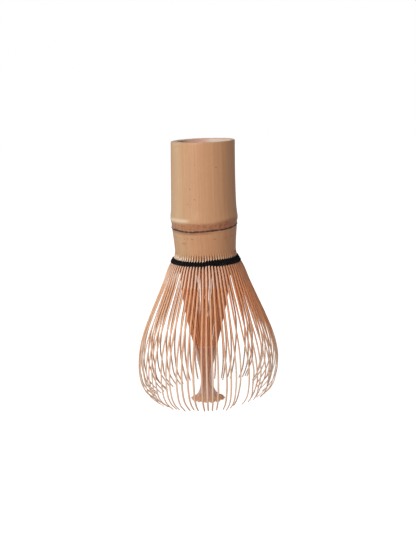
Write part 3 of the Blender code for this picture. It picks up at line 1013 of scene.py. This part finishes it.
def buildLacingTree():
    tree, given = newTree(
        "lacing",
        {
            "Int": ["Wraps", "Samples"],
            "Float": [
                "Rows", "Ring Radius", "Top", "Row Pitch", "Flare", "Sag", "Rise", "Strand", "Ply Offset",
                "Swell", "Slant", "Lean",
            ],
            "Material": ["Material"],
        },
    )
    startTurn = math.radians(-98)
    duckIn = 0.9 * mm
    # share of the step down and place below the row's top, for each straight ply
    straight = {2: (1.0, 0.0), 3: (0.2, 0.4)}
    plies = []
    for ply in range(4):
        line = addNode(tree, "GeometryNodeCurvePrimitiveLine")
        fine = addNode(
            tree,
            "GeometryNodeResampleCurve",
            {"Curve": line.outputs[0], "Count": given["Samples"]},
            mode="COUNT",
        )
        share = Field(tree, addNode(tree, "GeometryNodeSplineParameter").outputs["Factor"])
        # it starts left of the front, where it steps down a row and the whole band steps up
        rounds = share * given["Rows"]
        turn = rounds * fullTurn + startTurn
        wrap = turn * given["Wraps"]
        past = rounds.calc("FRACT")
        # the band is wider on the right
        right = turn.cos().ease(-0.05, 0.4)
        pitch = given["Row Pitch"] * (1.0 + right * 0.8)
        drop = rounds.ease(0.995, 1.04) * pitch
        sag = (1.0 - past.ease(0.012, 0.035) + past.ease(0.4, 0.98)) * given["Sag"]
        # both ends duck in between the slivers
        ends = share.between(0.0, 0.006, 0.994, 1.0)
        if ply in straight:
            stepShare, below = straight[ply]
            drop = drop * stepShare + pitch * below
            proud = given["Ply Offset"]
            spread = 0.0
        else:
            # the twisted plies close up over each sliver and spread at each slit
            twist = wrap * 0.5 + ply * math.pi
            proud = twist.cos() * given["Ply Offset"]
            spread = twist.sin() * given["Ply Offset"] * (1.0 - wrap.cos() * (0.75 - right * 0.3))
        radius = given["Ring Radius"] + (drop + sag) * given["Flare"] + wrap.cos() * given["Swell"]
        radius = radius + proud - (1.0 - ends) * duckIn
        slanted = (wrap + 0.9).sin() * given["Slant"]
        height = given["Top"] + right * given["Rise"] - drop - sag + spread + slanted
        x = radius * turn.cos() - given["Lean"]
        y = radius * turn.sin()
        laid = addNode(
            tree,
            "GeometryNodeSetPosition",
            {"Geometry": fine.outputs[0], "Position": joinAxes(tree, x, y, height)},
        )
        plies.append(laid.outputs[0])
    joined = tree.nodes.new("GeometryNodeJoinGeometry")
    for ply in plies:
        tree.links.new(ply, joined.inputs[0])
    ring = addNode(
        tree, "GeometryNodeCurvePrimitiveCircle", {"Resolution": 8, "Radius": given["Strand"]}, mode="RADIUS"
    )
    tube = addNode(
        tree,
        "GeometryNodeCurveToMesh",
        {"Curve": joined.outputs[0], "Profile Curve": ring.outputs[0], "Fill Caps": True},
    )
    endTree(tree, tube.outputs[0], given["Material"])
    return tree


lacingTree = buildLacingTree()

lacing = {
    "outer": {
        "Rows": 2.045,
        "Wraps": 72,
        "Samples": 1728,
        "Ring Radius": 13.35 * mm,
        "Top": 62.7 * mm,
        "Row Pitch": 0.98 * mm,
        "Flare": 0.55,  # the lower row lies further out, on the spreading slivers
        "Sag": 0.5 * mm,
        "Rise": 0.32 * mm,
        "Strand": 0.36 * mm,
        "Ply Offset": 0.34 * mm,
        "Swell": 0.2 * mm,
        "Slant": 0.16 * mm,
        "Lean": 0.15 * mm,
    },
    "inner": {
        "Rows": 0.97,
        "Wraps": 72,
        "Samples": 432,
        "Ring Radius": 12.2 * mm,
        "Top": 62.2 * mm,
        "Strand": 0.26 * mm,
        "Ply Offset": 0.16 * mm,
        "Lean": 0.15 * mm,
    },
}

for name, values in lacing.items():
    thread = growPiece(name + "Lacing", lacingTree, {**values, "Material": threadMaterial})
    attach(thread, "root")
    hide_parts("lacing_" + name)


# Studio with a pale floor, soft lamps and the photograph's camera

studio = {
    "floorSize": 3.0,
    "floorColour": (0.9, 0.9, 0.9, 1),
    "floorGlow": 0.74,
    "ambient": 0.33,
    # each lamp's place, size in metres, power in watts and colour
    "lamps": {
        "keyLamp": ((-0.42, -0.72, 0.5), 0.5, 5.8, (1, 0.99, 0.97)),
        "sideLamp": ((-0.8, 0.3, 0.3), 0.4, 0.9, (1, 1, 1)),
    },
    "lampAim": (0, 0, 0.06),
    "sensorWidth": 36,
    "lens": 76.82,
    "clipStart": 0.01,
    "cameraPlace": (0.00065, -0.4994, 0.1475),
    "pitch": math.radians(10.63),
    "roll": math.radians(2.05),
}


def makeFloor():
    data = bpy.data.meshes.new("floor")
    half = studio["floorSize"] / 2
    corners = [(-half, -half, 0), (half, -half, 0), (half, half, 0), (-half, half, 0)]
    data.from_pydata(corners, [], [(0, 1, 2, 3)])
    floor = bpy.data.objects.new("floor", data)
    bpy.context.scene.collection.objects.link(floor)
    material, tree, shader = newMaterial("paleFloor", Roughness=0.9)
    shader.inputs["Base Color"].default_value = studio["floorColour"]
    # the floor glows for the camera only, so it looks white without lighting the whisk
    rays = addNode(tree, "ShaderNodeLightPath")
    glow = addNode(tree, "ShaderNodeEmission", {"Color": (1, 1, 1, 1)})
    seen = Field(tree, rays.outputs["Is Camera Ray"]) * studio["floorGlow"]
    feed(tree, glow.inputs["Strength"], seen)
    both = addNode(tree, "ShaderNodeAddShader", {0: shader.outputs[0], 1: glow.outputs[0]})
    tree.links.new(both.outputs[0], tree.nodes["Material Output"].inputs["Surface"])
    data.materials.append(material)


def makeWorld():
    world = bpy.data.worlds.new("studioWorld")
    bpy.context.scene.world = world
    world.use_nodes = True
    tree = world.node_tree
    background = tree.nodes["Background"]
    background.inputs["Color"].default_value = (1, 1, 1, 1)
    # full white for the camera, and a soft light for the rest
    rays = addNode(tree, "ShaderNodeLightPath")
    seen = Field(tree, rays.outputs["Is Camera Ray"])
    feed(tree, background.inputs["Strength"], seen * (1 - studio["ambient"]) + studio["ambient"])


def makeLamp(name, place, size, power, colour):
    data = bpy.data.lights.new(name, "AREA")
    data.shape = "DISK"
    data.size = size
    data.energy = power
    data.color = colour
    lamp = bpy.data.objects.new(name, data)
    lamp.location = place
    aim = Vector(studio["lampAim"]) - Vector(place)
    lamp.rotation_euler = aim.to_track_quat("-Z", "Y").to_euler()
    bpy.context.scene.collection.objects.link(lamp)


def makeCamera():
    data = bpy.data.cameras.new("photoCamera")
    data.sensor_fit = "AUTO"
    data.sensor_width = studio["sensorWidth"]
    data.lens = studio["lens"]
    data.clip_start = studio["clipStart"]
    pitch, roll = studio["pitch"], studio["roll"]
    level = Vector((1, 0, 0))
    rise = Vector((0, math.sin(pitch), math.cos(pitch)))
    right = level * math.cos(roll) - rise * math.sin(roll)
    up = level * math.sin(roll) + rise * math.cos(roll)
    ahead = Vector((0, math.cos(pitch), -math.sin(pitch)))
    camera = bpy.data.objects.new("photoCamera", data)
    frameAxes = Matrix((right, up, -ahead)).transposed().to_4x4()
    camera.matrix_world = Matrix.Translation(studio["cameraPlace"]) @ frameAxes
    bpy.context.scene.collection.objects.link(camera)
    bpy.context.scene.camera = camera


makeFloor()
makeWorld()
for name, lamp in studio["lamps"].items():
    makeLamp(name, *lamp)
makeCamera()
bpy.context.scene.view_settings.view_transform = "Standard"
print("studio made")
